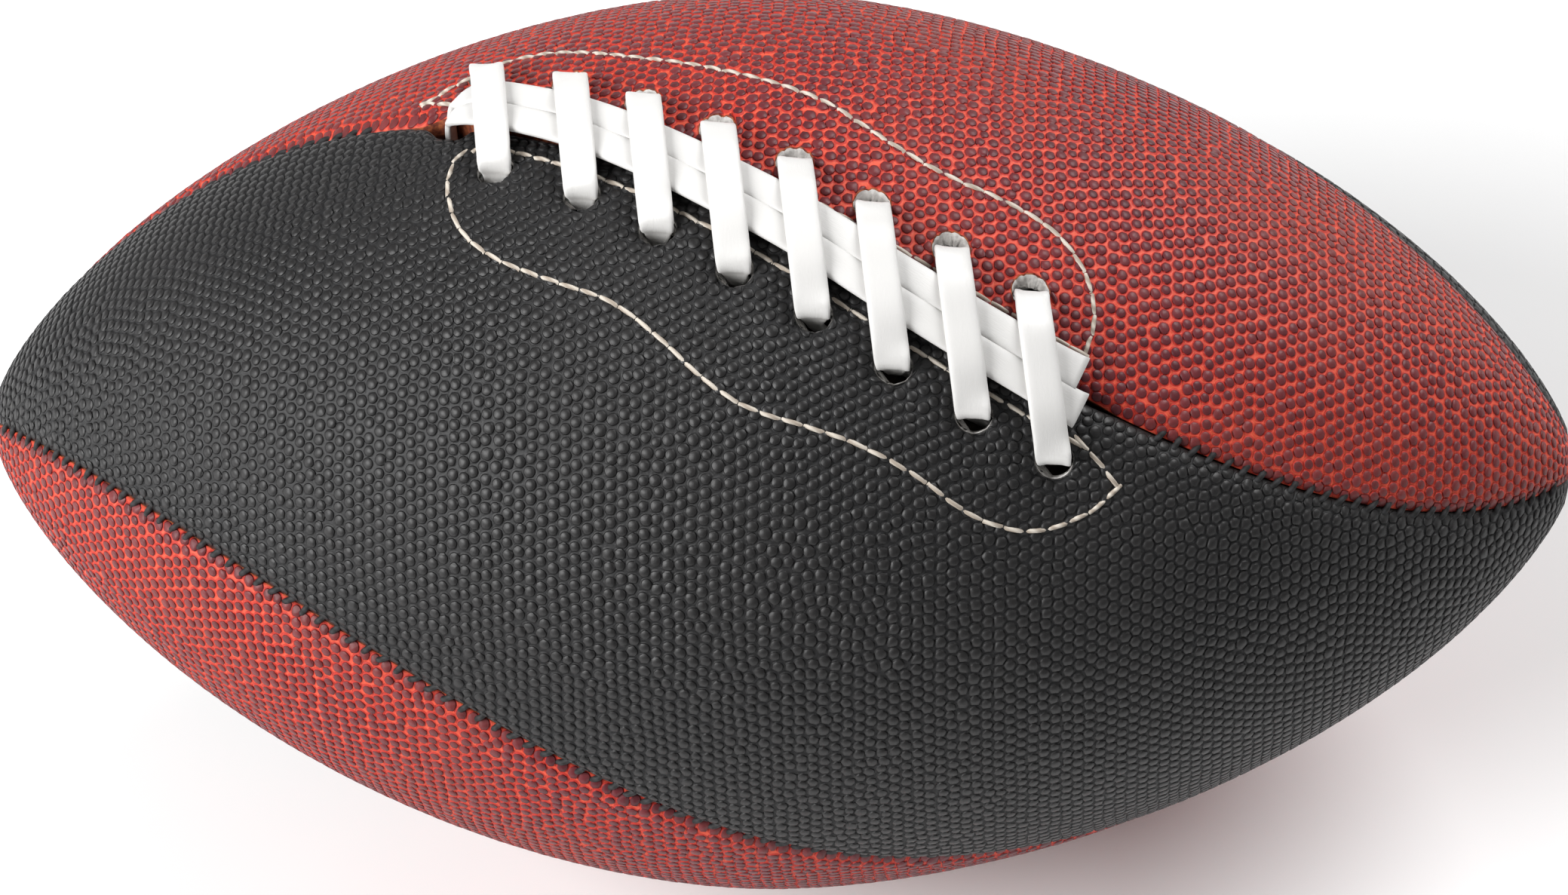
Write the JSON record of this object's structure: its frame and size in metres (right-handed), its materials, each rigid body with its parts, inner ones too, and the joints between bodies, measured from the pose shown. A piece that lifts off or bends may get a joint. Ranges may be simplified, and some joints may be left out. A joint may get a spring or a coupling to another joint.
{
  "type": "laced football",
  "caption": "Pointed laced football: twisted red and black pebbled panels sewn over linings and a bladder, with a white lace and a needle valve.",
  "frame": {"origin": "centre of the ball, on its long axis and midway between its two tips", "axes": "+X along the ball's long axis, +Z out through the middle of the lacing, +Y towards the red laced panel's side"},
  "size_m": [0.281, 0.1564, 0.1614],
  "materials": {
    "cover_red": "pebbled composite leather, satin",
    "cover_black": "pebbled composite leather, satin",
    "lining_cloth": "laminated cotton, woven",
    "facing_vinyl": "smooth reinforcing strip",
    "tongue_leather": "smooth, undyed",
    "bladder_rubber": "smooth butyl",
    "valve_rubber": "moulded, matt",
    "lace_vinyl": "smooth vinyl-coated lace, semi-gloss",
    "cream_thread": "twisted nylon",
    "black_thread": "waxed nylon"
  },
  "bodies": {
    "root": {"panel_red_top": "cover_red", "panel_black_back": "cover_black", "panel_red_bottom": "cover_red", "panel_black_front": "cover_black", "lining_red_top": "lining_cloth", "lining_black_back": "lining_cloth", "lining_red_bottom": "lining_cloth", "lining_black_front": "lining_cloth", "facing_top": "facing_vinyl", "facing_front": "facing_vinyl", "tongue": "tongue_leather", "bladder": "bladder_rubber", "valve_housing": "valve_rubber", "valve_core": "bladder_rubber", "lace": "lace_vinyl", "stitch_line_top": "cream_thread", "stitch_line_front": "cream_thread", "seam_thread_back": "black_thread", "seam_thread_bottom": "black_thread", "seam_thread_front": "black_thread", "seam_thread_laced_left": "black_thread", "seam_thread_laced_right": "black_thread"}
  },
  "joints": []
}
